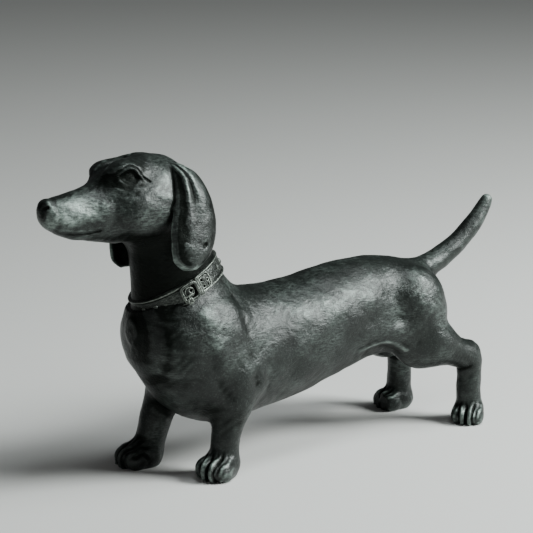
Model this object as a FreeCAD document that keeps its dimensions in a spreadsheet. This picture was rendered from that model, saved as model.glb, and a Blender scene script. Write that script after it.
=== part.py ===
"""Dachshund figurine, slip-cast in separate moulds and luted together, as a parametric FreeCAD document.

The dog stands on four paws, head towards -X, its left side towards -Y, +Z up.  The origin is the
centre of its footprint box on the ground.  All lengths are millimetres and all angles degrees.
"""
import FreeCAD, Part
import Sketcher
import os

DOC = FreeCAD.newDocument("dachshund_figurine")
SHEET = DOC.addObject("Spreadsheet::Sheet", "sizes")
PARTS_FOLDER = "parts"
SIDES = (("left", -1), ("right", 1))
VOLUME_DRIFT = 0.005


# ---------------------------------------------------------------- driving dimensions

def size(alias, value):
    """Writes one driving dimension to the sheet and returns the text that expressions use for it."""
    size.row += 1
    SHEET.set(f"A{size.row}", alias)
    SHEET.set(f"B{size.row}", str(value))
    SHEET.setAlias(f"B{size.row}", alias)
    return f"sizes.{alias}"


size.row = 0

WALL = size("wall_thickness", 4.5)
GROUND_SIDE = size("ground_box_side", 400)
VENT_RADIUS = size("vent_radius", 1.7)
VENT_X = size("vent_x", 28)
VENT_LENGTH = size("vent_length", 25)
VENT_START = size("vent_start_height", 20)

# The head casting turns a little towards the left, and its right side hangs lower.
HEAD_X = size("head_x", -66)
HEAD_Z = size("head_z", 125)
HEAD_YAW = size("head_yaw", 4)
HEAD_ROLL = size("head_roll", -8)
EYE_RADIUS = size("eye_radius", 3.4)
EYE_X = size("eye_x", -22.5)
EYE_SIDE = size("eye_side_offset", 11.2)
EYE_Z = size("eye_z", 13.6)

# The collar sits over the seam between head and torso, low at the throat.
COLLAR_X = size("collar_x", -57)
COLLAR_Z = size("collar_z", 86)
COLLAR_LEAN = size("collar_lean", -24)
COLLAR_ROLL = size("collar_roll", -8)
COLLAR_CLEARANCE = size("collar_clearance", 0.5)
STRAP_HALF_LENGTH = size("strap_half_length", 23.6)
STRAP_HALF_WIDTH = size("strap_half_width", 18)
STRAP_THICKNESS = size("strap_thickness", 2.2)
STRAP_WIDTH = size("strap_width", 9)
STRAP_FIELD_WIDTH = size("strap_field_width", 6.4)
STRAP_FIELD_DEPTH = size("strap_field_depth", 0.5)
STRAP_FIELD_REACH = size("strap_field_cutter_reach", 5)
NECK_SEAT_DROP = size("neck_seat_drop", 6.25)
TIP_THICKNESS = size("tip_thickness", 1.1)
TIP_HALF_WIDTH = size("tip_half_width", 3.1)
TIP_START_X = size("tip_start_x", -8.2)
TIP_ROUND_X = size("tip_round_x", 8.4)

BUCKLE_ANGLE = size("buckle_angle", -98)
BUCKLE_TURN = size("buckle_turn", -6)
BUCKLE_LENGTH = size("buckle_length", 8.8)
BUCKLE_HEIGHT = size("buckle_height", 9.6)
BUCKLE_BAR = size("buckle_bar", 1.4)
BUCKLE_DEPTH = size("buckle_depth", 4.4)
BUCKLE_SUNK = size("buckle_sunk", 2)
BUCKLE_ROUNDING = size("buckle_rounding", 1.5)
PRONG_RADIUS = size("prong_radius", 0.75)
PRONG_LENGTH = size("prong_length", 8.2)
PRONG_RISE = size("prong_rise", 1.9)
KEEPER_ANGLE = size("keeper_angle", -83)
KEEPER_TURN = size("keeper_turn", 4)
KEEPER_LENGTH = size("keeper_length", 2.4)
KEEPER_HEIGHT = size("keeper_height", 9.8)
KEEPER_DEPTH = size("keeper_depth", 4.2)
STUD_RADIUS = size("stud_radius", 1.5)
STUD_FIRST_ANGLE = -44
STUD_STEP = 20
STUD_COUNT = 14

# Torso stations from chest to rump: x, top, bottom, half width.
TORSO = [
    (-79, 73, 63, 4.5),
    (-77, 78, 54, 11),
    (-72, 81.5, 44, 17.5),
    (-63, 84, 31.5, 22),
    (-51, 85, 23.5, 24.5),
    (-36, 84, 20.2, 25.5),
    (-18, 81, 22, 25.5),
    (4, 80.4, 25, 24.5),
    (24, 83.2, 30.2, 22.5),
    (44, 84.6, 35, 20.5),
    (60, 83, 37, 20),
    (74, 79, 41, 18.5),
    (83, 74.5, 48, 13),
    (87, 70, 55, 7),
]
# Head stations from nose to nape, in the head's own frame: x, top, bottom, half width.
HEAD = [
    (-61, 5, 0.4, 2.2),
    (-59.6, 7, -2.6, 4.6),
    (-55, 8.2, -6.4, 6.8),
    (-48, 9.2, -9.8, 8.4),
    (-40, 10.4, -12, 9.8),
    (-33, 12.5, -13.6, 11.6),
    (-26, 18.8, -15, 14.4),
    (-15, 21.8, -16, 16.6),
    (-3, 21, -16, 17.4),
    (8, 17, -14.5, 15.4),
    (15, 11, -10, 10.4),
    (19, 5, -4, 4.4),
]
# Section rows below are x, y, z, half length, half width, lean of the section about Y.
NECK_SEAM = (-57, 0, 86, 22.4, 16.6, -24)
NECK_UPPER = [(-63, 0, 119, 18.5, 15, -8), (-60, 0, 103, 19, 15.4, -16), NECK_SEAM]
NECK_LOWER = [NECK_SEAM, (-52, 0, 72, 26, 20, -28), (-47, 0, 57, 28, 21, -28)]
# The left ear in the head's own frame, from root to tip; the right ear mirrors it and swings forward.
EAR = [
    (0, -11.5, 15.5, 4.5, 2.2, 0),
    (1.5, -15.8, 12, 7.5, 2.8, 0),
    (2.8, -18.8, 6, 10, 2.8, 0),
    (4, -20.8, -3, 11.4, 2.6, 0),
    (4, -21.8, -12, 12, 2.4, 0),
    (2.5, -22.3, -20, 11.2, 2.2, 0),
    (0.5, -22.2, -26, 8, 1.9, 0),
    (-1, -22, -29.6, 3.6, 1.3, 0),
]
# How far each ear swings forward, per unit of drop below its root.
EAR_SWING = {"left": 0, "right": 0.065}
TAIL = [
    (79, 0, 72, 6.2, 6.2, 70),
    (89, 0, 75, 5.3, 5.3, 68),
    (99, 0, 79, 4.7, 4.7, 62),
    (108, 0, 85, 4.2, 4.2, 52),
    (116, 0, 92, 3.7, 3.7, 44),
    (122, 0, 99, 3.1, 3.1, 36),
    (125.2, 0, 103.4, 2.1, 2.1, 34),
    (126, 0, 104.6, 0.9, 0.9, 34),
]
# Fore legs from ankle to seat; the left one stands back and the right one reaches forward.
LEFT_FORE = [
    (-43.5, -16.6, 6, 8.2, 7.6, 0),
    (-42, -16.8, 15, 7.4, 6.9, -4),
    (-40.2, -17.3, 26, 8.6, 7.6, -4),
    (-37.5, -17.2, 35, 11.6, 8.4, -4),
    (-35.5, -15.5, 43, 12, 8, 0),
]
RIGHT_FORE = [
    (-62, 16.6, 6, 8.2, 7.6, 10),
    (-58.2, 16.8, 16, 7.4, 6.9, 20),
    (-53.8, 17.3, 27, 8.8, 7.6, 22),
    (-49.6, 17.2, 36, 12, 8.4, 14),
    (-47.2, 15.5, 44, 12, 8, 0),
]
# The right hind leg; the left one is its mirror image, a step further back.
RIGHT_HIND = [
    (86, 18.5, 6, 7.2, 6.8, 0),
    (85.8, 18.5, 16, 6.6, 6.2, 0),
    (84.6, 18.5, 25, 7, 6.3, -8),
    (80.4, 18.5, 33, 8, 6.8, -28),
    (72.6, 18, 38, 8.8, 7.2, -52),
    (65, 15.5, 42, 9.6, 7.2, -64),
]
HIND_STEP = 12.5
LIMBS = {
    "left_fore_leg": LEFT_FORE,
    "right_fore_leg": RIGHT_FORE,
    "left_hind_leg": [(x + HIND_STEP, -y, z, *rest) for x, y, z, *rest in RIGHT_HIND],
    "right_hind_leg": RIGHT_HIND,
}
# Each paw's place on the ground and its turn-out about +Z: x, y, turn.
PAWS = {
    "left_fore_leg": (-45.5, -17.5, 22),
    "right_fore_leg": (-65, 17, -12),
    "left_hind_leg": (99, -19, 40),
    "right_hind_leg": (83.5, 19, -10),
}
# Muscle masses on each side of the torso: x, offset to the side, z, radius along x, y, z.
MASSES = {"shoulder": (-46, 17.5, 55, 19, 9.5, 25), "thigh": (70, 12.5, 52, 17, 12, 25)}
# Half of a paw's toes: forward reach, side offset, height, radius along x, y, z.
PAD = (0.5, 0, 5.5, 9.8, 8.2, 8.5)
TOES = {"middle": (-7, 2.4, 5, 5.4, 3, 5.8), "side": (-4.6, 6.5, 4.5, 5.4, 3, 5.2)}


# ---------------------------------------------------------------- document helpers

def feature(kind, name, **properties):
    made = DOC.addObject(kind, name)
    for prop, value in properties.items():
        setattr(made, prop, value)
    return made


def bind(made, **expressions):
    """Binds properties to sheet cells."""
    for prop, text in expressions.items():
        made.setExpression(prop, text)
    return made


def frame(x="0", y="0", z="0", *turns):
    """Expression text for a place: a position, then turns about named axes in order."""
    axes = {"x": "vector(1; 0; 0)", "y": "vector(0; 1; 0)", "z": "vector(0; 0; 1)"}
    rotations = [f"rotation({axes[axis]}; {angle})" for axis, angle in turns] or [f"rotation({axes['z']}; 0)"]
    return f"placement(vector({x}; {y}; {z}); {' * '.join(rotations)})"


HEAD_FRAME = frame(HEAD_X, "0", HEAD_Z, ("z", HEAD_YAW), ("x", HEAD_ROLL))
COLLAR_FRAME = frame(COLLAR_X, "0", COLLAR_Z, ("y", COLLAR_LEAN), ("x", COLLAR_ROLL))


def place(made, *frames):
    """Binds an object's Placement to one frame, or to frames nested from the outside in."""
    return bind(made, Placement=" * ".join(frames))


def ellipse(name, cells, inset="0"):
    """An ellipse whose long axis lies fore and aft, tipped about Y and drawn in by inset all round."""
    x, y, z, half_length, half_width, lean = cells
    made = feature("Part::Ellipse", name, MajorRadius=2, MinorRadius=1)
    bind(made, MajorRadius=f"{half_length} - {inset}", MinorRadius=f"{half_width} - {inset}")
    return place(made, frame(x, y, z, ("y", lean)))


def section_cells(prefix, rows):
    """Sheet cells for a list of sections, in the order that ellipse takes them."""
    labels = ("x", "y", "z", "half_length", "half_width", "lean")
    return [
        [size(f"{prefix}{number}_{label}", value) for label, value in zip(labels, row)]
        for number, row in enumerate(rows)
    ]


def upright_rows(stations):
    """Section rows across a body that runs along X, from rows of x, top, bottom, half width.

    The long axis points down, so the loft's seam line runs under the belly, clear of the neck.
    """
    return [
        (x, 0, (top + bottom) / 2, (top - bottom) / 2, half_width, 90)
        for x, top, bottom, half_width in stations
    ]


def loft(name, cells, inset="0"):
    """A solid through the sections, in order."""
    sections = [ellipse(f"{name}_section{number}", row, inset) for number, row in enumerate(cells)]
    return feature("Part::Loft", name, Sections=sections, Solid=True, Ruled=False)


def boolean(kind, name, first, others):
    """Applies one boolean after another to the first shape."""
    made = first
    for number, other in enumerate(others):
        made = feature(kind, f"{name}_{number}", Base=made, Tool=other)
    return made


def fuse(name, first, *others):
    return boolean("Part::Fuse", name, first, others)


def cut(name, first, *others):
    return boolean("Part::Cut", name, first, others)


def ellipsoid(name, x, y, z, along_x, along_y, along_z):
    """A full ellipsoid; Radius1 is along Z, Radius2 along X and Radius3 along Y."""
    made = feature("Part::Ellipsoid", name, Angle1=-90, Angle2=90, Angle3=360)
    bind(made, Radius1=size(f"{name}_rise", along_z), Radius2=size(f"{name}_reach", along_x))
    bind(made, Radius3=size(f"{name}_spread", along_y))
    return place(made, frame(size(f"{name}_x", x), size(f"{name}_y", y), size(f"{name}_z", z)))


def finish(made, label):
    """Takes an object as a finished sub-part: its label is also its file's name."""
    made.Label = label
    SUB_PARTS.append(made)
    return made


SUB_PARTS = []


# ---------------------------------------------------------------- legs and tail

def ground():
    """Everything below the surface that the dog stands on."""
    made = feature("Part::Box", "ground")
    bind(made, Length=GROUND_SIDE, Width=GROUND_SIDE, Height=GROUND_SIDE)
    return place(made, frame(f"-{GROUND_SIDE} / 2", f"-{GROUND_SIDE} / 2", f"-{GROUND_SIDE}"))


def paw(name, x, y, turn_out):
    """A pad and four toes, toes towards -X before the paw is turned out."""
    toes = []
    for label, (reach, offset, height, *radii) in TOES.items():
        for side, sign in SIDES:
            toes.append(ellipsoid(f"{name}_{side}_{label}_toe", reach, sign * offset, height, *radii))
    made = fuse(f"{name}_paw", ellipsoid(f"{name}_pad", *PAD), *toes)
    turn = size(f"{name}_turn_out", turn_out)
    return place(made, frame(size(f"{name}_paw_x", x), size(f"{name}_paw_y", y), "0", ("z", turn)))


def leg(name, ground_box):
    """A solid leg from its seat in the body down to a flat sole."""
    shank = loft(f"{name}_shank", section_cells(name, LIMBS[name]))
    whole = fuse(f"{name}_whole", shank, paw(name, *PAWS[name]))
    return finish(cut(f"{name}_standing", whole, ground_box), name)


def tail():
    return finish(loft("tail_casting", section_cells("tail", TAIL)), "tail")


# ---------------------------------------------------------------- collar

def elliptic_plate(name, grown, height):
    """An elliptic plate centred on the collar's plane, grown all round from the neck's own line."""
    outline = feature("Part::Ellipse", f"{name}_outline", MajorRadius=2, MinorRadius=1)
    bind(outline, MajorRadius=f"{STRAP_HALF_LENGTH} + {grown}")
    bind(outline, MinorRadius=f"{STRAP_HALF_WIDTH} + {grown}")
    made = feature("Part::Extrusion", name, Base=outline, Solid=True, Symmetric=True)
    made.DirMode = "Normal"
    return bind(made, LengthFwd=height)


def elliptic_ring(name, inside, outside, height):
    plate = elliptic_plate(f"{name}_plate", outside, height)
    return cut(name, plate, elliptic_plate(f"{name}_bore", inside, f"{height} * 2"))


def on_strap(angle, turn, sunk):
    """A frame on the strap's face: X along the strap, Y across it, Z outwards, sunk by a depth."""
    x = f"({STRAP_HALF_LENGTH} - {sunk}) * cos({angle})"
    y = f"({STRAP_HALF_WIDTH} - {sunk}) * sin({angle})"
    return frame(x, y, "0", ("z", turn), ("x", "90"))


def plate_body(name, length, height, depth):
    """A PartDesign body: a centred rectangle padded outwards."""
    body = DOC.addObject("PartDesign::Body", name)
    outline = rectangle_sketch(body, f"{name}_outline", length, height)
    pad = body.newObject("PartDesign::Pad", f"{name}_pad")
    pad.Profile = outline
    bind(pad, Length=depth)
    body.Tip = pad
    return body


def rectangle_sketch(body, name, length, height):
    """A rectangle centred on the origin of the body's XY plane, its size bound to the sheet."""
    sketch = body.newObject("Sketcher::SketchObject", name)
    plane = next(item for item in body.Origin.OriginFeatures if item.Role == "XY_Plane")
    sketch.AttachmentSupport = [(plane, "")]
    sketch.MapMode = "FlatFace"
    corners = [(-2, -2), (2, -2), (2, 2), (-2, 2)]
    points = [FreeCAD.Vector(x, y, 0) for x, y in corners]
    for number in range(4):
        sketch.addGeometry(Part.LineSegment(points[number], points[(number + 1) % 4]))
    for number in range(4):
        sketch.addConstraint(Sketcher.Constraint("Coincident", number, 2, (number + 1) % 4, 1))
    for line, kind in ((0, "Horizontal"), (2, "Horizontal"), (1, "Vertical"), (3, "Vertical")):
        sketch.addConstraint(Sketcher.Constraint(kind, line))
    sketch.addConstraint(Sketcher.Constraint("Symmetric", 0, 1, 1, 2, -1, 1))
    length_rule = sketch.addConstraint(Sketcher.Constraint("DistanceX", 0, 1, 0, 2, 4))
    sketch.renameConstraint(length_rule, "length")
    height_rule = sketch.addConstraint(Sketcher.Constraint("DistanceY", 1, 1, 1, 2, 4))
    sketch.renameConstraint(height_rule, "height")
    sketch.setExpression("Constraints.length", length)
    sketch.setExpression("Constraints.height", height)
    return sketch


def buckle_blank():
    """The buckle's frame before the strap passes under it: a plate, rounded and opened."""
    body = plate_body("buckle_blank", BUCKLE_LENGTH, BUCKLE_HEIGHT, BUCKLE_DEPTH)
    opening = rectangle_sketch(
        body,
        "buckle_opening_outline",
        f"{BUCKLE_LENGTH} - 2 * {BUCKLE_BAR}",
        f"{BUCKLE_HEIGHT} - 2 * {BUCKLE_BAR}",
    )
    DOC.recompute()
    pad = body.Tip
    corners = []
    for number, edge in enumerate(pad.Shape.Edges):
        start, end = edge.Vertexes[0].Point, edge.Vertexes[-1].Point
        if start.z != end.z:
            corners.append(f"Edge{number + 1}")
    rounding = body.newObject("PartDesign::Fillet", "buckle_rounding")
    rounding.Base = (pad, corners)
    bind(rounding, Radius=BUCKLE_ROUNDING)
    hole = body.newObject("PartDesign::Pocket", "buckle_opening")
    hole.Profile = opening
    hole.Reversed = True
    bind(hole, Length=f"{BUCKLE_DEPTH} * 2")
    body.Tip = hole
    return place(body, COLLAR_FRAME, on_strap(BUCKLE_ANGLE, BUCKLE_TURN, BUCKLE_SUNK))


def keeper_blank():
    body = plate_body("keeper_blank", KEEPER_LENGTH, KEEPER_HEIGHT, KEEPER_DEPTH)
    return place(body, COLLAR_FRAME, on_strap(KEEPER_ANGLE, KEEPER_TURN, BUCKLE_SUNK))


def prong_blank():
    """A round pin along the strap, lying over the buckle's two upright bars."""
    made = feature("Part::Cylinder", "prong_blank")
    bind(made, Radius=PRONG_RADIUS, Height=PRONG_LENGTH)
    lying = frame(f"-{PRONG_LENGTH} / 2", "0", PRONG_RISE, ("y", "90"))
    return place(made, COLLAR_FRAME, on_strap(BUCKLE_ANGLE, BUCKLE_TURN, "0"), lying)


def strap_end():
    """The strap's free end: a second layer on the left of the ring, square at the buckle, round behind."""
    layer = elliptic_ring("tip_layer", "0", TIP_THICKNESS, STRAP_WIDTH)
    tongue = feature("Part::Box", "tip_tongue")
    bind(tongue, Length=f"{TIP_ROUND_X} - {TIP_START_X}", Width=STRAP_HALF_LENGTH)
    bind(tongue, Height=f"2 * {TIP_HALF_WIDTH}")
    place(tongue, frame(TIP_START_X, f"-{STRAP_HALF_LENGTH}", f"-{TIP_HALF_WIDTH}"))
    round_end = feature("Part::Cylinder", "tip_round_end")
    bind(round_end, Radius=TIP_HALF_WIDTH, Height=STRAP_HALF_LENGTH)
    place(round_end, frame(TIP_ROUND_X, "0", "0", ("x", "90")))
    return boolean("Part::Common", "tip_blank", layer, [fuse("tip_outline", tongue, round_end)])


def strap_studs(*neighbours):
    """Half-round studs in a row round the strap, one group, cut back where they meet a neighbour."""
    balls = []
    for number in range(STUD_COUNT):
        ball = feature("Part::Sphere", f"stud{number}")
        bind(ball, Radius=STUD_RADIUS)
        angle = size(f"stud{number}_angle", STUD_FIRST_ANGLE + STUD_STEP * number)
        place(ball, COLLAR_FRAME, on_strap(angle, "0", STRAP_FIELD_DEPTH))
        balls.append(ball)
    return finish(cut("studs", fuse("stud_balls", *balls), *neighbours), "collar_studs")


def collar():
    """The strap with its recessed field, and the fittings that lie on it; returns all the solids."""
    whole = elliptic_ring("strap_ring", f"-{STRAP_THICKNESS}", "0", STRAP_WIDTH)
    field = elliptic_ring("strap_field", f"-{STRAP_FIELD_DEPTH}", STRAP_FIELD_REACH, STRAP_FIELD_WIDTH)
    strap = place(cut("strap_with_field", whole, field), COLLAR_FRAME)
    tip = place(strap_end(), COLLAR_FRAME)
    prong = prong_blank()
    buckle = cut("buckle_fitted", buckle_blank(), strap, tip, prong)
    keeper = cut("keeper_fitted", keeper_blank(), strap, tip)
    names = ("collar_strap", "collar_tip", "buckle_prong", "buckle_frame", "keeper_loop")
    made = (strap, tip, prong, buckle, keeper)
    for solid, name in zip(made, names):
        finish(solid, name)
    return [strap, buckle, keeper]


# ---------------------------------------------------------------- torso and head

def above_collar():
    """Everything above a plane just under the collar, where the neck alone carries on."""
    made = feature("Part::Box", "above_collar")
    bind(made, Length=GROUND_SIDE, Width=GROUND_SIDE, Height=GROUND_SIDE)
    middle = f"-{GROUND_SIDE} / 2"
    return place(made, COLLAR_FRAME, frame(middle, middle, f"-{NECK_SEAT_DROP} - {COLLAR_CLEARANCE}"))


def torso(limbs, tail_solid, collar_solids):
    """The hollow trunk with the lower neck, its seats cut for limbs, tail and collar."""
    cells = section_cells("torso", upright_rows(TORSO))
    neck_cells = section_cells("neck_lower", NECK_LOWER)
    masses = []
    for label, (x, offset, z, *radii) in MASSES.items():
        for side, sign in SIDES:
            masses.append(ellipsoid(f"{side}_{label}_mass", x, sign * offset, z, *radii))
    trunk = cut("trunk_below_collar", fuse("trunk", loft("torso_body", cells), *masses), above_collar())
    neck = cut("neck_seated", loft("neck_lower", neck_cells), *collar_solids)
    skin = fuse("torso_skin", trunk, neck)
    hollow = loft("torso_hollow", cells[2:-2], WALL)
    cavity = fuse("torso_cavity", hollow, loft("neck_lower_hollow", neck_cells, WALL))
    vent = feature("Part::Cylinder", "belly_vent")
    bind(vent, Radius=VENT_RADIUS, Height=VENT_LENGTH)
    place(vent, frame(VENT_X, "0", VENT_START))
    return finish(cut("torso_casting", skin, cavity, vent, *limbs, tail_solid), "torso_shell")


def eye(side, sign):
    made = feature("Part::Sphere", f"{side}_eye_ball")
    bind(made, Radius=EYE_RADIUS)
    return finish(place(made, HEAD_FRAME, frame(EYE_X, f"{sign} * {EYE_SIDE}", EYE_Z)), f"{side}_eye")


def ear(side, sign):
    """A flap that hangs from the side of the skull, swung forward about its root."""
    root_z = EAR[0][2]
    swing = EAR_SWING[side]
    rows = [(x + swing * (z - root_z), -sign * y, z, *rest) for x, y, z, *rest in EAR]
    made = loft(f"{side}_ear_flap", section_cells(f"{side}_ear", rows))
    return finish(place(made, HEAD_FRAME), f"{side}_ear")


def head(collar_solids):
    """The hollow skull with the upper neck, its sides cut for the ears, eyes and collar."""
    cells = section_cells("head", upright_rows(HEAD))
    neck_cells = section_cells("neck_upper", NECK_UPPER)
    skull = place(loft("skull", cells), HEAD_FRAME)
    skin = fuse("head_skin", skull, loft("neck_upper", neck_cells))
    hollow = place(loft("skull_hollow", cells[4:-3], WALL), HEAD_FRAME)
    cavity = fuse("head_cavity", hollow, loft("neck_upper_hollow", neck_cells, WALL))
    fitted = [eye(side, sign) for side, sign in SIDES] + [ear(side, sign) for side, sign in SIDES]
    return finish(cut("head_casting", skin, *collar_solids, cavity, *fitted), "head_shell")


# ---------------------------------------------------------------- build and write

ground_box = ground()
legs = [leg(name, ground_box) for name in LIMBS]
collar_solids = collar()
torso_casting = torso(legs, tail(), collar_solids)
head_casting = head(collar_solids)
strap_studs(collar_solids[0], torso_casting, head_casting)
DOC.recompute()

broken = [item.Name for item in DOC.Objects if {"Invalid", "Error"} & set(item.State)]
if broken:
    raise SystemExit(f"these objects failed: {broken}")
os.makedirs(PARTS_FOLDER, exist_ok=True)
for sub_part in SUB_PARTS:
    shape = sub_part.Shape
    if shape.isNull() or not shape.isValid():
        raise SystemExit(f"{sub_part.Label} has no valid shape")
    path = os.path.join(PARTS_FOLDER, sub_part.Label + ".step")
    shape.exportStep(path)
    written = Part.Shape()
    written.read(path)
    drift = abs(written.Volume - shape.Volume) / shape.Volume
    if not written.isValid() or drift > VOLUME_DRIFT:
        raise SystemExit(f"{sub_part.Label}: the written solid is {drift:.2%} away from the model")
    print(f"{sub_part.Label}: {len(shape.Solids)} solid(s), {shape.Volume / 1000:.2f} cm3, drift {drift:.3%}")
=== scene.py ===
"""Dachshund figurine with a dark bronze-effect finish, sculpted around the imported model.

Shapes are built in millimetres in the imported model's frame (head towards -X, left side towards -Y)
as blended implicit forms, then turned into meshes in metres.
"""
import math
import bmesh
import bpy
import numpy as np
from mathutils import Matrix, Vector


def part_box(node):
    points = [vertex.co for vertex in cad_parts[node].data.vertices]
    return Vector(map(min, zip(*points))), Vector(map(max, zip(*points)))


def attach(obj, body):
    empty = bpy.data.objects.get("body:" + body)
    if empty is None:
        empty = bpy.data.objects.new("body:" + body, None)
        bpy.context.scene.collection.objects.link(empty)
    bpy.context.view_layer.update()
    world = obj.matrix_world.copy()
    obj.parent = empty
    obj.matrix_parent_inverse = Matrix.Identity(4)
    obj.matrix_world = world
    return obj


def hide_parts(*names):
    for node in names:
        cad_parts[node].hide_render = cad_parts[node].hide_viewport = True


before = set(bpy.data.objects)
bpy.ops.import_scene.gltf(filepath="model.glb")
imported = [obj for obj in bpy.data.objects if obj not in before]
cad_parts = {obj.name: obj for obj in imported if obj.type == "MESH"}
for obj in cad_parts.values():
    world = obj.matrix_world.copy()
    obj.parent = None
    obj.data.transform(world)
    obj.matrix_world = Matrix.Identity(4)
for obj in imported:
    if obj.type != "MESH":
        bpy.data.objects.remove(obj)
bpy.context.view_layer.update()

MM = 0.001
# Multiplies the spacing of every sculpted mesh.
FINE = 1.0


def node_box(node):
    """A node's lowest and highest corner, in millimetres."""
    low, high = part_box(node)
    return np.array(low) / MM, np.array(high) / MM


# ---------------------------------------------------------------- stations

# Torso from chest to rump: x, top, bottom, half width.
TORSO = [
    (-79, 73, 63, 4.5), (-77, 77, 54, 11), (-72, 80.5, 44, 17), (-63, 82.5, 32, 21),
    (-51, 83.5, 24, 23.5), (-36, 82.5, 20.8, 24.3), (-18, 80, 22.6, 24), (4, 80, 25.6, 23),
    (24, 82.8, 30.6, 21.5), (44, 84.2, 35.5, 19.5), (60, 82.8, 38, 19), (74, 79, 42, 17.5),
    (83, 74, 48, 12.5), (87, 69.5, 56, 6.5),
]
# Neck, cut level: height, front x, back x, half width.
NECK = [
    (55, -76, -18, 20), (66, -77, -21, 20.5), (77, -77.2, -27, 19), (86, -77.4, -32, 16.8),
    (95, -78, -37, 15.6), (103, -79, -41, 15.2), (110, -80.3, -43, 15), (119, -81.5, -44.5, 14.8),
    (126, -83, -46, 14),
]
# Head in its own frame, nose to nape: x, top, bottom, half width.
HEAD = [
    (-61, 5, 0.4, 2.2), (-59.6, 7, -2.6, 4.6), (-55, 8.2, -6.6, 6.6), (-48, 9.2, -10, 8),
    (-40, 10.4, -12, 9.3), (-33, 12.5, -13.6, 11.2), (-26, 18.2, -15, 13.6), (-15, 21.5, -16, 16),
    (-3, 21, -16, 17), (7.5, 17.4, -14.5, 15.2), (13, 12, -11, 11), (16.2, 6, -5, 5),
]
# Left ear in the head's frame, root to tip: height, x, y, half length, half thickness.
EAR = [
    (15.5, 2.5, -11, 3.6, 2.2), (12, 4.2, -15.2, 5.6, 2.6), (6, 5, -18.3, 8, 2.7),
    (-3, 4.6, -20.5, 10.6, 2.7), (-12, 3.2, -21.5, 12.2, 2.6), (-20, 1.6, -22, 11.4, 2.4),
    (-26, 0, -21.9, 8.6, 2), (-29.6, -1, -21.7, 3.6, 1.3),
]
# How far the left (-1) and right (1) ear swings forward, per unit of drop below its root.
EAR_SWING = {-1: 0, 1: 0.08}
# Limb and tail chains: x, y, z, radius.
FORE_LEFT = [(-43.5, -16.8, 5, 7.2), (-42.3, -16.9, 14, 6.5), (-40.4, -17.2, 25, 7.2), (-37.7, -17, 35, 9.6),
             (-36, -15, 46, 11.5)]
FORE_RIGHT = [(-62, 16.8, 5, 7.4), (-58.6, 16.9, 15, 7), (-54, 17.2, 27, 8), (-49.8, 16.6, 37, 9.8),
              (-47.5, 15, 47, 11.5)]
HIND_RIGHT = [(86.3, 18.5, 5, 6.2), (86, 18.5, 15, 5.9), (86.2, 18.5, 24, 5.9), (85, 18.3, 31.5, 6.6),
              (76, 17.6, 36.5, 7.6), (64, 15.5, 43, 9.5)]
# How far the left hind foot stands behind the right one.
HIND_STEP = 12.5
TAIL = [(74, 0, 70.2, 7.4), (82, 0, 72.3, 6.4), (90, 0, 75.3, 5.6), (99, 0, 79.4, 5.1), (108, 0, 85, 4.7),
        (116, 0, 92, 4.2), (121.6, 0, 98.6, 3.4), (123.6, 0, 101.6, 2.7)]
# Paws: x, y, turn-out in degrees, size.
PAWS = {
    "left_fore_leg": (-45.5, -17.5, 22, 1.0),
    "right_fore_leg": (-65, 17, -12, 1.0),
    "left_hind_leg": (98.5, -19, 40, 0.9),
    "right_hind_leg": (83.5, 19, -10, 0.9),
}
CHAINS = {
    "left_fore_leg": FORE_LEFT,
    "right_fore_leg": FORE_RIGHT,
    "left_hind_leg": [(x + HIND_STEP, -y, z, r) for x, y, z, r in HIND_RIGHT],
    "right_hind_leg": HIND_RIGHT,
}

HEAD_LOW, HEAD_HIGH = node_box("head_shell")
# The head's origin, behind the tip of the nose and below the crown.
NOSE_REACH, CROWN_RISE = 61.25, 22
HEAD_AT = np.array([HEAD_LOW[0] + NOSE_REACH, 0, HEAD_HIGH[2] - CROWN_RISE])
HEAD_YAW, HEAD_ROLL = math.radians(4), math.radians(-8)
STRAP_LOW, STRAP_HIGH = node_box("collar_strap")
COLLAR_AT = (STRAP_LOW + STRAP_HIGH) / 2
COLLAR_LEAN, COLLAR_ROLL = math.radians(-24), math.radians(-8)


# ---------------------------------------------------------------- frames

def turn(axis, angle):
    """A rotation matrix about a named axis."""
    c, s = math.cos(angle), math.sin(angle)
    rows = {
        "x": [[1, 0, 0], [0, c, -s], [0, s, c]],
        "y": [[c, 0, s], [0, 1, 0], [-s, 0, c]],
        "z": [[c, -s, 0], [s, c, 0], [0, 0, 1]],
    }
    return np.array(rows[axis])


HEAD_TURN = turn("z", HEAD_YAW) @ turn("x", HEAD_ROLL)
COLLAR_TURN = turn("y", COLLAR_LEAN) @ turn("x", COLLAR_ROLL)


def to_local(p, at, rotation):
    return (p - at) @ rotation


# ---------------------------------------------------------------- implicit forms

CAP_ROUND = 2.5

def curve(u, a, b, slope_a, slope_b):
    """A cubic from a to b with the given slopes at its ends, for u from 0 to 1."""
    return ((2 * u**3 - 3 * u**2 + 1) * a + (u**3 - 2 * u**2 + u) * slope_a
            + (3 * u**2 - 2 * u**3) * b + (u**3 - u**2) * slope_b)


def smooth_rows(rows, samples=24):
    """Station rows joined by smooth curves, as a table in rising order of its first column."""
    table = np.array(rows, float)
    t = table[:, 0]
    slopes = np.gradient(table, t, axis=0)
    u = np.linspace(0, 1, samples, endpoint=False)[:, None]
    spans = []
    for i in range(len(t) - 1):
        width = t[i + 1] - t[i]
        spans.append(curve(u, table[i], table[i + 1], width * slopes[i], width * slopes[i + 1]))
    smooth = np.vstack(spans + [table[-1:]])
    return smooth[np.argsort(smooth[:, 0])]


def elliptic(a, b, half_a, half_b):
    """Distance-like value of an ellipse with given half axes."""
    half_a, half_b = np.maximum(half_a, 0.3), np.maximum(half_b, 0.3)
    q = np.sqrt((a / half_a) ** 2 + (b / half_b) ** 2)
    g = np.sqrt((a / half_a**2) ** 2 + (b / half_b**2) ** 2)
    reach = np.where(q < 0.05, np.minimum(half_a, half_b), q / np.maximum(g, 1e-6))
    return (q - 1) * reach


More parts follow.
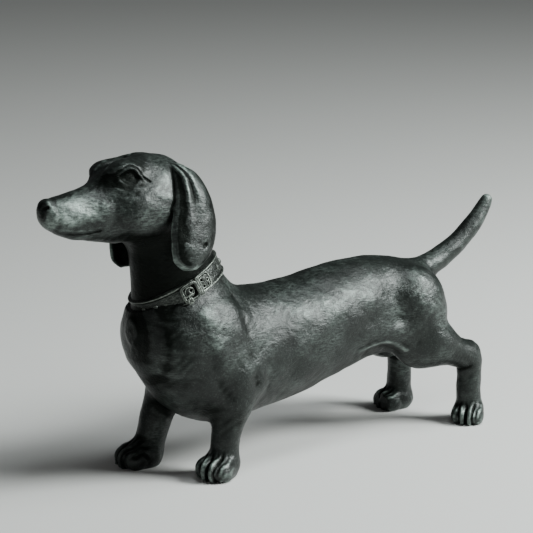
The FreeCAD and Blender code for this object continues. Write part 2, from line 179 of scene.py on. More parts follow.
def capped(d, t, low, high):
    """Closes a tube at both ends with rounded caps."""
    return meet(d, np.maximum(low - t, t - high), CAP_ROUND)


def tube_x(p, table):
    """A body along X from a table of x, top, bottom, half width."""
    x = np.clip(p[:, 0], table[0, 0], table[-1, 0])
    top, bottom, wide = (np.interp(x, table[:, 0], table[:, i]) for i in (1, 2, 3))
    d = elliptic(p[:, 1], p[:, 2] - (top + bottom) / 2, wide, (top - bottom) / 2)
    return capped(d, p[:, 0], table[0, 0], table[-1, 0])


def neck_tube(p):
    """The neck, from a table of height, front, back, half width."""
    z = np.clip(p[:, 2], NECK_TABLE[0, 0], NECK_TABLE[-1, 0])
    front, back, wide = (np.interp(z, NECK_TABLE[:, 0], NECK_TABLE[:, i]) for i in (1, 2, 3))
    d = elliptic(p[:, 1], p[:, 0] - (front + back) / 2, wide, (back - front) / 2)
    return capped(d, p[:, 2], NECK_TABLE[0, 0], NECK_TABLE[-1, 0])


def ellipsoid(p, centre, radii):
    q = (p - np.array(centre)) / np.array(radii)
    k0 = np.sqrt((q**2).sum(1))
    k1 = np.sqrt(((q / np.array(radii)) ** 2).sum(1))
    return np.where(k0 < 0.05, -min(radii), k0 * (k0 - 1) / np.maximum(k1, 1e-6))


def cone(p, a, b, ra, rb):
    """A round-ended cone from a to b."""
    a, b = np.array(a, float), np.array(b, float)
    ab = b - a
    t = np.clip(((p - a) @ ab) / (ab @ ab), 0, 1)
    return np.sqrt(((p - a - t[:, None] * ab) ** 2).sum(1)) - (ra + (rb - ra) * t)


def supple(rows, steps=7):
    """x, y, z, radius rows joined by a smooth curve through every row."""
    table = np.array(rows, float)
    slopes = np.gradient(table, axis=0)
    u = np.linspace(0, 1, steps, endpoint=False)[:, None]
    spans = [curve(u, table[i], table[i + 1], slopes[i], slopes[i + 1]) for i in range(len(table) - 1)]
    return np.vstack(spans + [table[-1:]])


def chain(p, rows):
    """A limb along a smooth row of round cones."""
    fine = supple(rows)
    return np.minimum.reduce([cone(p, a[:3], b[:3], a[3], b[3]) for a, b in zip(fine, fine[1:])])


def meet(a, b, k):
    """Smooth intersection."""
    return -join(-a, -b, k)


def near(p, low, high, form):
    """A form's value inside its own padded box, and a far value elsewhere."""
    low, high = np.array(low, float) - PAD, np.array(high, float) + PAD
    mask = np.all((p > low) & (p < high), axis=1)
    d = np.full(len(p), FAR)
    if mask.any():
        d[mask] = form(p[mask])
    return d


def around(rows, form, p):
    """A form near a row of x, y, z, radius."""
    table = np.array(rows, float)
    reach = table[:, 3].max()
    return near(p, table[:, :3].min(0) - reach, table[:, :3].max(0) + reach, form)


def stroke(a, b, path):
    """Distance to a drawn line of points, measured on a flat view of the surface."""
    best = None
    for (a0, b0), (a1, b1) in zip(path, path[1:]):
        da, db = a1 - a0, b1 - b0
        t = np.clip(((a - a0) * da + (b - b0) * db) / (da * da + db * db), 0, 1)
        d = np.hypot(a - a0 - t * da, b - b0 - t * db)
        best = d if best is None else np.minimum(best, d)
    return best


def hump(distance, width):
    return np.exp(-((distance / width) ** 2))


def step(value, softness):
    """0 for large negative values, 1 for large positive ones."""
    return 0.5 + 0.5 * np.tanh(value / softness)


def join(a, b, k):
    """Smooth union."""
    h = np.maximum(k - np.abs(a - b), 0) / k
    return np.minimum(a, b) - h * h * k / 4


def carve(a, b, k):
    """Smooth subtraction of b from a."""
    return -join(-a, b, k)


# How far past its own box a form is still measured, and the value it has beyond that.
PAD, FAR = 9.0, 30.0
TORSO_TABLE = smooth_rows(TORSO)
NECK_TABLE = smooth_rows(NECK)
HEAD_TABLE = smooth_rows(HEAD)
EAR_TABLE = smooth_rows(EAR)


# ---------------------------------------------------------------- dog

def hand(p, size=1.0):
    """Slight unevenness left by hand modelling."""
    x, y, z = p[:, 0] * size, p[:, 1] * size, p[:, 2] * size
    wave = np.sin(0.31 * x + 1.3 * np.sin(0.17 * z)) * np.sin(0.37 * z + 0.6 + np.sin(0.23 * y))
    fine = np.sin(0.83 * x + 2.1 * np.sin(0.29 * y + 0.4 * z)) * np.sin(0.71 * z + 1.7 * np.sin(0.33 * x))
    return 0.2 * wave + 0.045 * fine


# Toes in the paw's own frame: place along, place across, half length, half width, half height.
TOES = [
    (-6.6, 2.3, 5.2, 3, 5.4), (-6.6, -2.3, 5.2, 3, 5.4),
    (-4.2, 5.9, 5.2, 2.9, 4.8), (-4.2, -5.9, 5.2, 2.9, 4.8),
]
TOE_GAPS = (-4.3, 0, 4.3)


def paw_field(p, name):
    """Pad, four toes with claws, and the knuckles above them, in the paw's own frame."""
    x, y, degrees, size = PAWS[name]
    q = to_local(p, np.array([x, y, 0]), turn("z", math.radians(degrees))) / size
    d = ellipsoid(q, (0.8, 0, 5.2), (9.2, 7.6, 7.8))
    for reach, offset, length, width, rise in TOES:
        d = join(d, ellipsoid(q, (reach, offset, 4.4), (length, width, rise)), 1.8)
        tip = reach - length * 0.86
        d = join(d, cone(q, (tip + 1.4, offset, 3.2), (tip - 0.1, offset * 1.03, 1.4), 0.85, 0.45), 0.7)
        d -= 0.5 * hump(np.linalg.norm(q - np.array([reach + 1.8, offset * 0.95, 9]), axis=1), 1.9)
    front = step(-q[:, 0] - 1.5, 1.6)
    for offset in TOE_GAPS:
        gap = hump(q[:, 1] - offset * (1 + 0.02 * q[:, 0]), 0.55)
        d += 0.85 * gap * front * step(10.5 - q[:, 2], 1.5)
    ridges = np.sin(2.6 * q[:, 1] + 0.5 * q[:, 2] + 1.1 * np.sin(0.9 * q[:, 0]))
    d += 0.12 * ridges * step(q[:, 2] - 4, 2) * step(14 - q[:, 2], 2)
    return d * size


# Marks drawn on a side view: depth (creases positive, ridges negative), width, path of x, z.
FLANK_MARKS = [
    (0.55, 2.6, [(-36.4, 84), (-34, 66), (-33, 52), (-31, 43)]),
    (-0.75, 6, [(-53, 76), (-52, 66), (-48, 56)]),
    (-0.9, 3.6, [(-27.4, 45), (-26.6, 41)]),
    (0.5, 3, [(-56, 60), (-50, 46), (-44, 38)]),
    (0.9, 5.5, [(52, 70), (57, 60), (62, 47)]),
    (-0.45, 8, [(66, 72), (73, 60), (79, 44)]),
    (0.5, 5, [(-20, 70), (-12, 56), (-8, 44)]),
    (-0.4, 7, [(0, 68), (20, 68), (40, 70)]),
    (-0.8, 1.4, [(33, 44.6), (40, 46.6), (47, 47.1), (54, 45), (60, 41)]),
    (1.7, 3.2, [(40, 41), (48, 42), (57, 38)]),
] + [(0.08, 2.8, [(start, 68), (start + 7, 48)]) for start in (-14, -3, 8)]


def drawn(x, z, marks):
    """Displacement of the skin by a table of marks."""
    return sum(depth * hump(stroke(x, z, path), width) for depth, width, path in marks)


def flank_marks(p):
    """Modelled creases and muscle edges on the body's sides."""
    return drawn(p[:, 0], p[:, 2], FLANK_MARKS) * step(np.abs(p[:, 1]) - 12, 3)


# Muscle masses on both sides of the trunk: centre, half sizes, softness of the blend.
MASSES = [
    ((-45, 16.5, 56), (16, 8.6, 24), 5),
    ((-58, 12.5, 64), (15, 9, 15), 8),
    ((71, 12, 54), (16, 11.6, 24), 6),
    ((77.5, 14, 40), (11.5, 8.8, 10.5), 5),
]
# Elbows and hocks: x, side.
ELBOWS = ((-29.5, -1), (-39, 1))
HOCKS = ((98.5, -1), (86, 1))


def torso_field(p):
    """Trunk, neck, limbs and tail as one continuous skin."""
    mirrored = np.stack([p[:, 0], np.abs(p[:, 1]), p[:, 2]], 1)

    def mass(centre, radii):
        centre, radii = np.array(centre, float), np.array(radii, float)
        return near(mirrored, centre - radii, centre + radii, lambda q: ellipsoid(q, centre, radii))

    d = near(p, (-80, -28, 18), (88, 28, 88), lambda q: tube_x(q, TORSO_TABLE))
    d = join(d, near(p, (-84, -21, 55), (-17, 21, 126), neck_tube), 9)
    for centre, radii, softness in MASSES:
        d = join(d, mass(centre, radii), softness)
    d = join(d, near(mirrored, (38, 8, 40), (64, 24, 56),
                     lambda q: cone(q, (36, 15, 53), (62, 16, 49.5), 3.4, 4.4)), 6)
    for name, rows in CHAINS.items():
        d = join(d, around(rows, lambda q, r=rows: chain(q, r), p), 6 if "fore" in name else 5)
        x, y = PAWS[name][:2]
        d = join(d, near(p, (x - 15, y - 13, -1), (x + 12, y + 13, 14),
                         lambda q, n=name: paw_field(q, n)), 2.2)
    for x, sign in ELBOWS:
        d = join(d, near(p, (x - 5, sign * 17 - 5, 36), (x + 5, sign * 17 + 5, 48),
                         lambda q, at=(x, sign * 17, 41.5): ellipsoid(q, at, (4.6, 4.6, 6))), 5)
    for x, sign in HOCKS:
        d = join(d, near(p, (x - 4, sign * 18.5 - 4, 28), (x + 7, sign * 18.5 + 4, 40),
                         lambda q, a=x, b=sign * 18.5:
                         cone(q, (a, b, 36.2), (a + 2.2, b, 35.2), 3.2, 2.7)), 3)
    d = join(d, around(TAIL, lambda q: chain(q, TAIL), p), 5)
    above = step(p[:, 2] - 28, 4)
    return np.maximum(d + flank_marks(p) * above + hand(p), -p[:, 2])


# The eye in the head's frame: x and z of its middle, tilt, the ball's radius and its depth under the skin.
EYE_AT = (-21.9, 12.9)
EYE_TILT = math.radians(-13)
EYE_RADIUS = 3.5
EYE_SUNK = 1.15
# Half length and half height of the opening between the lids, and the depth of the socket.
OPEN_LONG, OPEN_HIGH = 4.4, 2.85
SOCKET_DEPTH = 1.9
# Fold running from the upper lid, brow ridge, hollow inside the brow, swelling below the eye.
EYE_MARKS = [
    (0.5, 0.45, [(-19.5, 15.6), (-16.4, 12.2), (-13.6, 10)]),
    (-0.8, 2.1, [(-27.5, 16.8), (-23, 18.4), (-17, 17)]),
    (0.35, 0.9, [(-28.5, 12), (-26.5, 15), (-23, 16.2)]),
    (-0.2, 1.0, [(-29, 8.4), (-24, 6.8), (-18, 7.6)]),
]
# Lip line, lower lip, short folds in front of the eye, soft fold below it.
MUZZLE_MARKS = [
    (0.42, 0.5, [(-59, -4.4), (-55.6, -6.6), (-48, -8.2), (-41, -8.6), (-36.5, -8.1)]),
    (-0.2, 0.7, [(-55, -8), (-48, -9.8), (-40, -10.2)]),
    (-0.16, 1.9, [(-20.5, 8.2), (-18.2, 3.4)]),
] + [(0.07, 0.6, [(-33.4 + shift, 8.4), (-32.6 + shift, 3.8)]) for shift in (0, 1.9, 3.7)]


def eye_marks(x, z):
    """Socket, lids and brow around the eye, drawn on the side view of the skull."""
    c, s = math.cos(EYE_TILT), math.sin(EYE_TILT)
    dx, dz = x - EYE_AT[0], z - EYE_AT[1]
    u, v = dx * c + dz * s, dz * c - dx * s
    half = OPEN_HIGH * (1 - np.minimum(np.abs(u) / OPEN_LONG, 1) ** 2)
    rim = np.where(np.abs(u) < OPEN_LONG, np.abs(v) - half, np.hypot(np.abs(u) - OPEN_LONG, v))
    along = hump(u, OPEN_LONG * 1.25)
    upper = v > 0
    d = SOCKET_DEPTH * step(-rim + 0.1, np.where(upper, 0.45, 1.2))
    d -= hump(rim - 0.7, 0.7) * along * np.where(upper, 0.6, 0.04)
    d += 0.4 * hump(rim - 2.0, 0.55) * along * np.where(upper, 1, 0.05)
    return d + drawn(x, z, EYE_MARKS)


def muzzle_marks(x, z):
    """Lips and folds, the full upper lip with its rounded rear edge, and fine strands along it."""
    full_lip = step(-33.5 - x, 2.2) * hump(z + 0.2, 6) * step(x + 56, 3)
    strands = np.sin(4.1 * z + 0.6 * x + 1.5 * np.sin(0.5 * x)) * np.sin(0.9 * x + 1.9 * np.sin(0.9 * z))
    strands = strands * hump(x + 44, 9) * hump(z - 2, 4)
    return drawn(x, z, MUZZLE_MARKS) - 0.55 * full_lip + 0.06 * strands


# Middle of the nose in the head's frame.
NOSE = np.array([-57.2, 0, 3.6])


def head_local(q):
    """The head in its own frame, with brows, cheeks, nose, lips and sockets."""
    m = np.stack([q[:, 0], np.abs(q[:, 1]), q[:, 2]], 1)
    d = tube_x(q, HEAD_TABLE)
    d = join(d, ellipsoid(m, (-20.5, 7.8, 13.8), (6.4, 5, 4.6)), 5)
    d = join(d, ellipsoid(m, (-13, 12.6, -3), (13, 4.8, 9)), 6)
    d = join(d, ellipsoid(q, (-57, 0, 3.8), (3.8, 4.3, 4)), 1)
    d = carve(d, ellipsoid(m, (-28, 0, 21), (13, 1.8, 3.2)), 4)
    aside = step(m[:, 1] - 3.2, 1)
    d = d + aside * (eye_marks(q[:, 0], q[:, 2]) + muzzle_marks(q[:, 0], q[:, 2]))
    rim = np.linalg.norm((q - NOSE) / np.array([1, 1.05, 1.05]), axis=1) - 4.9
    d += 0.1 * hump(rim, 0.8) * step(q[:, 2] + 1, 1)
    d = carve(d, cone(m, (-62.2, 2.5, 4.3), (-59.2, 3.9, 4.9), 1.15, 0.55), 0.7)
    d = carve(d, cone(q, (-62, 0, 2.2), (-60.6, 0, -3.4), 0.42, 0.3), 0.6)
    return d + 0.7 * hand(q, 1.4)


# Thick lower edge, swelling behind the middle, hollow in front of it.
EAR_MARKS = [
    (-0.3, 2.4, [(-6, -20), (0, -25), (6, -22)]),
    (-0.3, 3, [(3, 4), (5.5, -8), (4, -16)]),
    (0.22, 2, [(-2, 6), (-0.5, -6), (-1.5, -14)]),
]


def ear_local(q, sign):
    """A hanging flap, full in the middle, with long folds down its front; sign is -1 for the left ear."""
    swing = EAR_SWING[sign] * (q[:, 2] - EAR[0][0])
    z = np.clip(q[:, 2], EAR_TABLE[0, 0], EAR_TABLE[-1, 0])
    cx, cy, half, thick = (np.interp(z, EAR_TABLE[:, 0], EAR_TABLE[:, i]) for i in (1, 2, 3, 4))
    across = q[:, 0] - cx - swing
    u = across / np.maximum(half, 1)
    fade = np.clip((z + 29) / 12, 0, 1)
    bow = 2.4 * (1 - u**2) - 1.6
    folds = 0.6 * np.cos(10.5 * (u + 0.5) + 0.05 * z) * hump(u + 0.45, 0.42) * np.clip((z + 14) / 18, 0, 1)
    curl = 0.45 * hump(u + 0.9, 0.25)
    outward = cy - (bow + (folds + curl) * fade)
    y = q[:, 1] * -sign
    d = elliptic(across, y - outward, half, thick)
    d = meet(d, np.maximum(EAR_TABLE[0, 0] - q[:, 2], q[:, 2] - EAR_TABLE[-1, 0]), 1.5)
    d += drawn(across, q[:, 2], EAR_MARKS)
    pit = hump(np.hypot(across - 3.4, q[:, 2] + 19.5), 1.1) * step(-(y - outward), 0.5)
    return d + 1.1 * pit + 0.5 * hand(q, 1.8)


def ear_box(sign):
    return (-18, min(sign * 5, sign * 29), -34), (19, max(sign * 5, sign * 29), 18)


def upper_field(p):
    """Neck, head and ears as one continuous skin."""
    q = to_local(p, HEAD_AT, HEAD_TURN)
    d = near(q, (-63, -20, -18), (21, 20, 24), head_local)
    d = join(d, near(p, (-84, -21, 55), (-17, 21, 126), neck_tube), 8)
    for sign in (-1, 1):
        d = join(d, near(q, *ear_box(sign), lambda r, one=sign: ear_local(r, one)), 1.0)
    return d


# ---------------------------------------------------------------- where one casting meets the next

# How far each casting runs past its seam.
LAP = 0.35


def below_collar(p):
    return to_local(p, COLLAR_AT, COLLAR_TURN)[:, 2]


# Height of the front legs' seats at LEG_OUT from the middle plane, and how they rise towards it.
FORE_SEAT, FORE_SEAT_SLOPE, LEG_OUT = 30, 0.55, 22
# Height of the hind legs' seats, and how far in front of the hock the seam turns down.
HIND_SEAT, HOCK_REACH = 41, 9
# No leg reaches closer than this to the middle plane.
LEG_INSET = 4


def leg_zone(p, name):
    """Negative inside the box that holds a leg, up to its seat in the body."""
    rows = CHAINS[name]
    sign = -1 if name.startswith("left") else 1
    xs = [row[0] for row in rows]
    low, high = min(xs) - 26, max(xs) + 22
    if "fore" in name:
        seat = p[:, 2] - FORE_SEAT + FORE_SEAT_SLOPE * (LEG_OUT - np.abs(p[:, 1]))
    else:
        seat = np.maximum(p[:, 2] - HIND_SEAT, 0.8 * (rows[3][0] - HOCK_REACH - p[:, 0]))
    sides = np.maximum(low - p[:, 0], p[:, 0] - high)
    return np.maximum(np.maximum(seat, sides), -sign * p[:, 1] + LEG_INSET)


# A point on the sloping seam at the root of the tail (x, z), and how it leans.
TAIL_SEAM, TAIL_LEAN = (87.5, 72), (0.92, 0.38)


def tail_zone(p):
    return (TAIL_SEAM[0] - p[:, 0]) * TAIL_LEAN[0] + (TAIL_SEAM[1] - p[:, 2]) * TAIL_LEAN[1]


# ---------------------------------------------------------------- surface

# Grid cells per side of a block, the radius within which relief is felt, and its strength on fittings.
BLOCK = 8
RELIEF_REACH = 1.5
EDGE_WEAR = 1.1


def surface(field, low, high, spacing):
    """Points and quads of the zero surface of a field, sampled only near it."""
    low = np.array(low, float)
    counts = np.ceil((np.array(high) - low) / spacing / BLOCK).astype(int) * BLOCK
    blocks = counts // BLOCK
    grid = np.stack(np.meshgrid(*[np.arange(n) for n in blocks], indexing="ij"), -1).reshape(-1, 3)
    centres = low + (grid + 0.5) * BLOCK * spacing
    rough = field(centres)
    close = np.abs(rough) < BLOCK * spacing * 1.9
    values = np.repeat(np.repeat(np.repeat(rough.reshape(blocks), BLOCK, 0), BLOCK, 1), BLOCK, 2)
    values = np.sign(values).astype(np.float32) * 9
    cell = np.stack(np.meshgrid(*[np.arange(BLOCK)] * 3, indexing="ij"), -1).reshape(-1, 3)
    for start in range(0, int(close.sum()), 400):
        index = (grid[close][start:start + 400, None, :] * BLOCK + cell[None]).reshape(-1, 3)
        values[index[:, 0], index[:, 1], index[:, 2]] = field(low + index * spacing)
    return nets(values, low, spacing, field)


def nets(values, low, spacing, field):
    """Surface nets: one point per crossed cell, one quad per crossed edge."""
    inside = values < 0
    corner = [(i, j, k) for i in (0, 1) for j in (0, 1) for k in (0, 1)]
    shape = np.array(values.shape) - 1
    count = np.zeros(shape, np.int8)
    for i, j, k in corner:
        count += inside[i:i + shape[0], j:j + shape[1], k:k + shape[2]]
    active = np.argwhere((count > 0) & (count < 8))
    ids = -np.ones(shape, np.int64)
    ids[tuple(active.T)] = np.arange(len(active))
    total, weight = np.zeros((len(active), 3)), np.zeros(len(active))
    for a in corner:
        for axis in range(3):
            if a[axis]:
                continue
            b = list(a)
            b[axis] = 1
            va = values[tuple((active + a).T)]
            vb = values[tuple((active + b).T)]
            crossed = (va < 0) != (vb < 0)
            t = np.where(crossed, va / np.where(va == vb, 1, va - vb), 0)
            point = np.array(a) + t[:, None] * (np.array(b) - np.array(a))
            total += point * crossed[:, None]
            weight += crossed
    points = low + (active + total / weight[:, None]) * spacing
    for _ in range(2):
        value, slope = gradient(field, points, spacing * 0.4)
        length = np.maximum((slope**2).sum(1), 0.05)
        points -= np.clip(value / length, -spacing / 2, spacing / 2)[:, None] * slope
    quads = []
    for axis in range(3):
        u, v = (axis + 1) % 3, (axis + 2) % 3
        first = [slice(1, -1)] * 3
        second = [slice(1, -1)] * 3
        first[axis], second[axis] = slice(0, -1), slice(1, None)
        a, b = inside[tuple(first)], inside[tuple(second)]
        at = np.argwhere(a != b)
        flip = a[tuple(at.T)]
        base = at + 1
        base[:, axis] -= 1
        loop = []
        for du, dv in ((0, 0), (-1, 0), (-1, -1), (0, -1)):
            c = base.copy()
            c[:, u] += du
            c[:, v] += dv
            loop.append(ids[tuple(c.T)])
        quad = np.stack(loop, 1)
        quad[~flip] = quad[~flip][:, ::-1]
        quads.append(quad)
    return points, np.vstack(quads)


def gradient(field, points, e):
    value = field(points)
    slope = np.zeros_like(points)
    for axis in range(3):
        offset = np.zeros(3)
        offset[axis] = e
        slope[:, axis] = (field(points + offset) - field(points - offset)) / (2 * e)
    return value, slope


def relief(skin, points, e):
    """How far the surface bulges (positive) or dips (negative) around each point."""
    value, slope = gradient(skin, points, e * 0.3)
    total = -6 * value
    for axis in range(3):
        for sign in (-1, 1):
            offset = np.zeros(3)
            offset[axis] = sign * e
            total += skin(points + offset)
    return np.clip(total / e, -1, 1), value, slope


def make_mesh(name, points, faces):
    mesh = bpy.data.meshes.new(name)
    mesh.from_pydata((points * MM).tolist(), [], faces.tolist() if isinstance(faces, np.ndarray) else faces)
    mesh.update()
    piece = bpy.data.objects.new(f"{name}_visual", mesh)
    bpy.context.scene.collection.objects.link(piece)
    mesh.polygons.foreach_set("use_smooth", [True] * len(mesh.polygons))
    return piece


def ring_faces(rings, spokes, closed=False, first=0):
    """Quads between neighbouring rings of points; closed joins the last ring to the first."""
    faces = []
    for i in range(rings if closed else rings - 1):
        here, there = first + i * spokes, first + (i + 1) % rings * spokes
        for j in range(spokes):
            k = (j + 1) % spokes
            faces.append((here + j, there + j, there + k, here + k))
    return faces


def mark_edges(piece):
    """Stores how proud each point stands of its neighbours, for the wear on small fittings."""
    mesh = piece.data
    count = len(mesh.vertices)
    flat = np.zeros(count * 3, np.float32)
    mesh.vertices.foreach_get("co", flat)
    at = flat.reshape(-1, 3) / MM
    mesh.vertices.foreach_get("normal", flat)
    normals = flat.reshape(-1, 3)
    ends = np.zeros(len(mesh.edges) * 2, np.int32)
    mesh.edges.foreach_get("vertices", ends)
    a, b = ends[0::2], ends[1::2]
    gap = at[b] - at[a]
    length = np.maximum((gap**2).sum(1), 1e-6)
    total, weight = np.zeros(count), np.zeros(count)
    for here, delta in ((a, gap), (b, -gap)):
        np.add.at(total, here, -(normals[here] * delta).sum(1) / length)
        np.add.at(weight, here, 1)
    bend = total / np.maximum(weight, 1)
    attribute = mesh.attributes.new("relief", "FLOAT", "POINT")
    attribute.data.foreach_set("value", np.clip(bend * EDGE_WEAR, -1, 1).astype(np.float32))


def settle(piece, nodes, material):
    """Gives a piece its material and, where it has none, its edge relief; hangs it on the one body and hides
    the CAD nodes it stands for.
    """
    piece.data.materials.append(material)
    if "relief" not in piece.data.attributes:
        mark_edges(piece)
    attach(piece, "root")
    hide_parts(*nodes)
    return piece


def sculpt(name, node, skin, zone, low, high, spacing, material, wear_and_painted_light=None):
    """One casting: the shared skin kept inside this casting's own zone; the optional last function adds wear
    from rubbing, painted highlight and painted shade to its stored relief.
    """
    spacing *= FINE

    def field(p):
        return np.maximum(skin(p), zone(p) - LAP)

    points, quads = surface(field, low, high, spacing)
    piece = make_mesh(name, points, quads)
    bulge, value, slope = relief(skin, points, RELIEF_REACH)
    on_skin = np.abs(value) < spacing * 0.5
    normals = slope / np.maximum(np.sqrt((slope**2).sum(1)), 1e-6)[:, None]
    own = np.zeros(len(points) * 3, np.float32)
    piece.data.vertices.foreach_get("normal", own)
    normals = np.where(on_skin[:, None], normals, own.reshape(-1, 3))
    attribute = piece.data.attributes.new("relief", "FLOAT", "POINT")
    bulge = np.where(on_skin, bulge, 0)
    # The relief attribute holds the surface's bulge plus painted highlight (positive) and painted shade
    # (negative) from the optional last function.
    if wear_and_painted_light is not None:
        bulge = bulge + wear_and_painted_light(points)
    attribute.data.foreach_set("value", bulge.astype(np.float32))
    piece.data.normals_split_custom_set_from_vertices(normals.tolist())
    return settle(piece, [node], material)


# ---------------------------------------------------------------- materials

# Dark patina that settles in the hollows, also laid as painted shade in the eye sockets, under the jaw and on
# the breast, belly and upper legs.
PATINA_AND_PAINTED_SHADE = (0.003, 0.004, 0.003)


def patina(name, dark, mid, worn_and_highlight, roughness, metal, scale=1.0, wear=1.0):
    """Bronze-effect finish: dark patina in the hollows, pale wear from rubbing on the high places, finely
    scratched; the same dark and pale colours also serve as painted shade and painted highlight.
    """
    material = bpy.data.materials.new(name)
    material.use_nodes = True
    nodes, links = material.node_tree.nodes, material.node_tree.links
    shader = nodes["Principled BSDF"]
    place = nodes.new("ShaderNodeTexCoord")

    def noise(size, detail, stretch=(1, 1, 1)):
        mapping = nodes.new("ShaderNodeMapping")
        mapping.inputs["Scale"].default_value = stretch
        texture = nodes.new("ShaderNodeTexNoise")
        texture.inputs["Scale"].default_value = size * scale
        texture.inputs["Detail"].default_value = detail
        texture.inputs["Roughness"].default_value = 0.62
        links.new(place.outputs["Object"], mapping.inputs["Vector"])
        links.new(mapping.outputs["Vector"], texture.inputs["Vector"])
        return texture.outputs["Fac"]

    def ramp(value, low, high):
        made = nodes.new("ShaderNodeMapRange")
        made.inputs["From Min"].default_value = low
        made.inputs["From Max"].default_value = high
        links.new(value, made.inputs["Value"])
        return made.outputs["Result"]

    def math_node(kind, a, b):
        made = nodes.new("ShaderNodeMath")
        made.operation = kind
        for socket, value in zip(made.inputs, (a, b)):
            if isinstance(value, (int, float)):
                socket.default_value = value
            else:
                links.new(value, socket)
        return made.outputs[0]

    def mix(factor, a, b):
        made = nodes.new("ShaderNodeMix")
        made.data_type = "RGBA"
        links.new(factor, made.inputs["Factor"])
        for socket, value in (("A", a), ("B", b)):
            target = next(s for s in made.inputs if s.name == socket and s.type == "RGBA")
            if isinstance(value, tuple):
                target.default_value = (*value, 1)
            else:
                links.new(value, target)
        return next(s for s in made.outputs if s.type == "RGBA")

    blotch = ramp(noise(48, 6), 0.34, 0.7)
    speck = ramp(noise(1300, 3), 0.54, 0.74)
    scratch = noise(900, 4, (0.45, 0.45, 1.6))
    bulge = nodes.new("ShaderNodeAttribute")
    bulge.attribute_name = "relief"
    # High places take the pale colour: wear from rubbing on edges and bulges, plus painted highlight on the
    # muzzle, temples, shoulders, flanks and thighs. The wear factor scales both.
    raised = ramp(bulge.outputs["Fac"], 0.36, 1.0)
    hollow_and_shade = ramp(bulge.outputs["Fac"], -0.06, -0.45)
    rubbed_and_highlight = math_node("MULTIPLY", raised, ramp(noise(210, 7), 0.3, 0.6))
    rubbed_and_highlight = math_node("MULTIPLY", rubbed_and_highlight, ramp(scratch, 0.25, 0.55))
    rubbed_and_highlight = math_node("MULTIPLY", rubbed_and_highlight, wear)
    handled = math_node("MULTIPLY", ramp(noise(62, 6), 0.46, 0.66), ramp(scratch, 0.4, 0.62))
    colour = mix(blotch, dark, mid)
    colour = mix(math_node("MULTIPLY", handled, 0.24), colour, worn_and_highlight)
    colour = mix(math_node("MULTIPLY", speck, 0.12), colour, worn_and_highlight)
    colour = mix(rubbed_and_highlight, colour, worn_and_highlight)
    # The hollows take the dark patina; in the eye sockets, under the jaw and on the breast, belly and upper
    # legs it is painted shade.
    colour = mix(math_node("MULTIPLY", hollow_and_shade, 0.9), colour, PATINA_AND_PAINTED_SHADE)
    links.new(colour, shader.inputs["Base Color"])
    gloss = math_node("MULTIPLY", math_node("SUBTRACT", blotch, 0.5), -0.08)
    gloss = math_node("ADD", gloss, math_node("MULTIPLY", scratch, 0.14))
    links.new(math_node("ADD", gloss, roughness - 0.07), shader.inputs["Roughness"])
    shader.inputs["Metallic"].default_value = metal
    # Specular level is lowered in the same places, which deepens the painted shade.
    sheen = math_node("SUBTRACT", 0.44, math_node("MULTIPLY", hollow_and_shade, 0.36))
    links.new(sheen, shader.inputs["Specular IOR Level"])
    height = math_node("ADD", math_node("MULTIPLY", noise(230, 7), 1.1), math_node("MULTIPLY", scratch, 0.45))
    height = math_node("ADD", height, math_node("MULTIPLY", speck, 0.12))
    height = math_node("ADD", height, math_node("MULTIPLY", noise(75, 3), 1.5))
    bump = nodes.new("ShaderNodeBump")
    bump.inputs["Strength"].default_value = 0.55
    bump.inputs["Distance"].default_value = 0.0007
    links.new(height, bump.inputs["Height"])
    links.new(bump.outputs["Normal"], shader.inputs["Normal"])
    return material


BODY = patina("bronze_effect", dark=(0.0025, 0.0038, 0.003), mid=(0.008, 0.0115, 0.0095),
              worn_and_highlight=(0.2, 0.245, 0.222), roughness=0.38, metal=0.3)
TRIM = patina("bronze_trim", dark=(0.003, 0.004, 0.003), mid=(0.012, 0.016, 0.013),
              worn_and_highlight=(0.38, 0.42, 0.37), roughness=0.35, metal=0.4, scale=1.6, wear=1.3)
EYE = patina("dark_eye", dark=(0.002, 0.0025, 0.002), mid=(0.005, 0.006, 0.005),
             worn_and_highlight=(0.02, 0.022, 0.02), roughness=0.17, metal=0.1, scale=2.0, wear=0.2)


# ---------------------------------------------------------------- castings

def head_wear_and_painted_light(p):
    """Painted shade round the eye sockets and under the jaw, darker on the nose; wear from rubbing with
    painted highlight on the muzzle's sides and the temples.
    """
    q = to_local(p, HEAD_AT, HEAD_TURN)
    x, z, side = q[:, 0], q[:, 2], np.abs(q[:, 1])
    # Painted shade round the eye sockets.
    eyes = hump(np.hypot((x - EYE_AT[0] + 1) / 1.4, z - EYE_AT[1] - 0.6), 5.4) * step(side - 4, 1)
    nose = step(4.7 - np.linalg.norm(q - NOSE, axis=1), 0.35)
    # Wear from rubbing and painted highlight on the muzzle's sides.
    muzzle = hump((x + 47.5) / 1.7, 7) * hump(z - 1.8, 5.4) * step(side - 3, 1.2)
    # Painted shade under the jaw.
    under = step(-z - 11, 2)
    # Wear from rubbing and painted highlight on the temples.
    temple = hump(x + 7, 8) * hump(z - 8, 9) * step(side - 5, 1)
    return 1.3 * muzzle + 0.5 * temple - 1.6 * eyes - 0.9 * nose - 0.55 * under


def torso_wear_and_painted_light(p):
    """Wear from rubbing and painted highlight along the shoulders, upper flanks and thighs; painted shade at
    the breast, belly and upper legs.
    """
    x, z, side = p[:, 0], p[:, 2], step(np.abs(p[:, 1]) - 10, 3)
    # Wear from rubbing and painted highlight on the shoulders, upper flanks and thighs.
    shoulder = hump(stroke(x, z, [(-55, 78), (-52, 66)]), 7)
    flank = hump(stroke(x, z, [(-18, 72), (10, 70), (40, 74)]), 8)
    thigh = hump(stroke(x, z, [(66, 72), (76, 58)]), 9)
    # Painted shade on the breast, belly and upper legs.
    dark = np.maximum(step(-x - 65, 5), 0.6 * step(36 - z, 4) * step(z - 16, 3))
    return (0.5 * shoulder + 0.4 * flank + 0.38 * thigh) * side - 0.5 * dark


